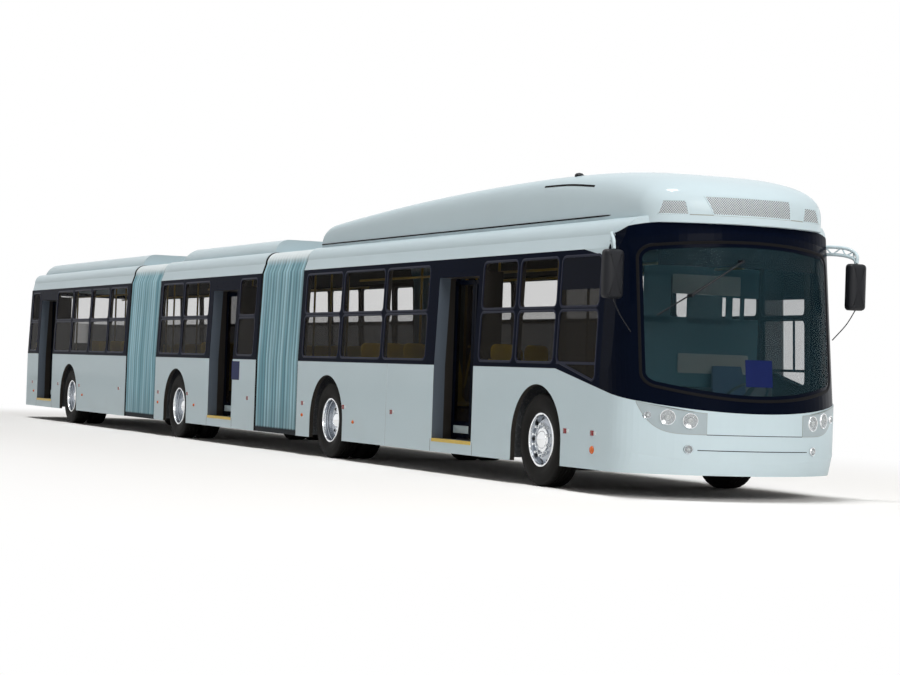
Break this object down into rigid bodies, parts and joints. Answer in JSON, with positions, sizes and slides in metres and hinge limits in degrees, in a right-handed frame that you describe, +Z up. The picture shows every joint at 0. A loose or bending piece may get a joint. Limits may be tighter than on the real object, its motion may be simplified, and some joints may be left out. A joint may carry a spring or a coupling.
{
  "type": "bi-articulated city bus",
  "caption": "Low-floor city bus in rigid sections joined by pleated bellows, with swing-in doors, steered front wheels, twin rear wheels and long roof pods.",
  "frame": {"origin": "on the ground under the middle of the bus", "axes": "+X forward, +Y to the left side, +Z up"},
  "size_m": [25, 3.12, 3.3986],
  "materials": {
    "body_paint": "gloss",
    "black_surround": "gloss",
    "clear_glass": "clear",
    "tinted_glass": "tinted",
    "lamp": "clear",
    "red_lamp": "gloss",
    "black_plastic": "satin",
    "floor": "matte",
    "chassis": "matte",
    "seat": "satin",
    "bellows": "matte",
    "door": "gloss",
    "tyre": "matte",
    "rim": "polished"
  },
  "bodies": {
    "front_section": {"front_platform": "floor", "engine_block": "chassis", "front_axle_beam": "chassis", "drive_axle": "chassis", "front_sides": "body_paint", "front_roof": "body_paint", "front_fascia": "body_paint", "screen_surround": "black_surround", "windscreen": "clear_glass", "front_glass": "tinted_glass", "front_roof_pod": "body_paint", "headlamps": "lamp", "mirror_arms": "body_paint", "mirror_heads": "black_plastic", "wiper": "black_plastic", "dashboard": "black_plastic", "front_seats": "seat"},
    "left_knuckle": {"left_knuckle": "chassis"},
    "right_knuckle": {"right_knuckle": "chassis"},
    "middle_section": {"middle_platform": "floor", "middle_axle": "chassis", "middle_sides": "body_paint", "middle_roof": "body_paint", "middle_roof_pod": "body_paint", "middle_glass": "tinted_glass", "middle_seats": "seat", "front_bellows": "bellows"},
    "rear_section": {"rear_platform": "floor", "rear_axle": "chassis", "rear_sides": "body_paint", "rear_wall": "body_paint", "rear_roof": "body_paint", "rear_roof_pod": "body_paint", "rear_glass": "tinted_glass", "rear_seats": "seat", "tail_lamps": "red_lamp", "rear_bellows": "bellows"},
    "front_left_wheel": {"front_left_tyre": "tyre", "front_left_rim": "rim"},
    "front_right_wheel": {"front_right_tyre": "tyre", "front_right_rim": "rim"},
    "drive_left_wheel": {"drive_left_tyres": "tyre", "drive_left_rims": "rim"},
    "drive_right_wheel": {"drive_right_tyres": "tyre", "drive_right_rims": "rim"},
    "middle_left_wheel": {"middle_left_tyres": "tyre", "middle_left_rims": "rim"},
    "middle_right_wheel": {"middle_right_tyres": "tyre", "middle_right_rims": "rim"},
    "rear_left_wheel": {"rear_left_tyres": "tyre", "rear_left_rims": "rim"},
    "rear_right_wheel": {"rear_right_tyres": "tyre", "rear_right_rims": "rim"},
    "front_door_back_leaf": {"front_door_back_leaf": "door"},
    "front_door_fore_leaf": {"front_door_fore_leaf": "door"},
    "middle_door_back_leaf": {"middle_door_back_leaf": "door"},
    "middle_door_fore_leaf": {"middle_door_fore_leaf": "door"},
    "rear_door_back_leaf": {"rear_door_back_leaf": "door"},
    "rear_door_fore_leaf": {"rear_door_fore_leaf": "door"}
  },
  "joints": [
    {"name": "front_articulation", "type": "hinge", "parent": "front_section", "child": "middle_section", "pos_m": [2.0325, 0, 0.28], "axis": [0, 0, 1], "range_deg": [-45, 45], "deforming": ["front_bellows"]},
    {"name": "rear_articulation", "type": "hinge", "parent": "middle_section", "child": "rear_section", "pos_m": [-4.5075, 0, 0.28], "axis": [0, 0, 1], "range_deg": [-45, 45], "deforming": ["rear_bellows"]},
    {"name": "left_steering", "type": "hinge", "parent": "front_section", "child": "left_knuckle", "pos_m": [10.1, 0.8925, 0.5], "axis": [0, 0, 1], "range_deg": [-40, 40]},
    {"name": "right_steering", "type": "hinge", "parent": "front_section", "child": "right_knuckle", "pos_m": [10.1, -0.8925, 0.5], "axis": [0, 0, 1], "range_deg": [-40, 40]},
    {"name": "front_left_spin", "type": "hinge", "parent": "left_knuckle", "child": "front_left_wheel", "pos_m": [10.1, 1.1075, 0.5], "axis": [0, 1, 0], "continuous": true},
    {"name": "front_right_spin", "type": "hinge", "parent": "right_knuckle", "child": "front_right_wheel", "pos_m": [10.1, -1.1075, 0.5], "axis": [0, 1, 0], "continuous": true},
    {"name": "drive_left_spin", "type": "hinge", "parent": "front_section", "child": "drive_left_wheel", "pos_m": [3.98, 1.1075, 0.5], "axis": [0, 1, 0], "continuous": true},
    {"name": "drive_right_spin", "type": "hinge", "parent": "front_section", "child": "drive_right_wheel", "pos_m": [3.98, -1.1075, 0.5], "axis": [0, 1, 0], "continuous": true},
    {"name": "middle_left_spin", "type": "hinge", "parent": "middle_section", "child": "middle_left_wheel", "pos_m": [-2.56, 1.1075, 0.5], "axis": [0, 1, 0], "continuous": true},
    {"name": "middle_right_spin", "type": "hinge", "parent": "middle_section", "child": "middle_right_wheel", "pos_m": [-2.56, -1.1075, 0.5], "axis": [0, 1, 0], "continuous": true},
    {"name": "rear_left_spin", "type": "hinge", "parent": "rear_section", "child": "rear_left_wheel", "pos_m": [-9.05, 1.1075, 0.5], "axis": [0, 1, 0], "continuous": true},
    {"name": "rear_right_spin", "type": "hinge", "parent": "rear_section", "child": "rear_right_wheel", "pos_m": [-9.05, -1.1075, 0.5], "axis": [0, 1, 0], "continuous": true},
    {"name": "front_door_back_swing", "type": "hinge", "parent": "front_section", "child": "front_door_back_leaf", "pos_m": [7.436, -1.03, 1.35], "axis": [0, 0, 1], "range_deg": [0, 90]},
    {"name": "front_door_fore_swing", "type": "hinge", "parent": "front_section", "child": "front_door_fore_leaf", "pos_m": [8.464, -1.03, 1.35], "axis": [0, 0, -1], "range_deg": [0, 90]},
    {"name": "middle_door_back_swing", "type": "hinge", "parent": "middle_section", "child": "middle_door_back_leaf", "pos_m": [-0.888, -1.03, 1.35], "axis": [0, 0, 1], "range_deg": [0, 90]},
    {"name": "middle_door_fore_swing", "type": "hinge", "parent": "middle_section", "child": "middle_door_fore_leaf", "pos_m": [0.14, -1.03, 1.35], "axis": [0, 0, -1], "range_deg": [0, 90]},
    {"name": "rear_door_back_swing", "type": "hinge", "parent": "rear_section", "child": "rear_door_back_leaf", "pos_m": [-11.333, -1.03, 1.35], "axis": [0, 0, 1], "range_deg": [0, 90]},
    {"name": "rear_door_fore_swing", "type": "hinge", "parent": "rear_section", "child": "rear_door_fore_leaf", "pos_m": [-10.305, -1.03, 1.35], "axis": [0, 0, -1], "range_deg": [0, 90]}
  ],
  "couplings": [
    {"joint": "right_steering", "follows": "left_steering", "ratio": 1},
    {"joint": "front_door_fore_swing", "follows": "front_door_back_swing", "ratio": 1},
    {"joint": "middle_door_fore_swing", "follows": "middle_door_back_swing", "ratio": 1},
    {"joint": "rear_door_fore_swing", "follows": "rear_door_back_swing", "ratio": 1}
  ]
}
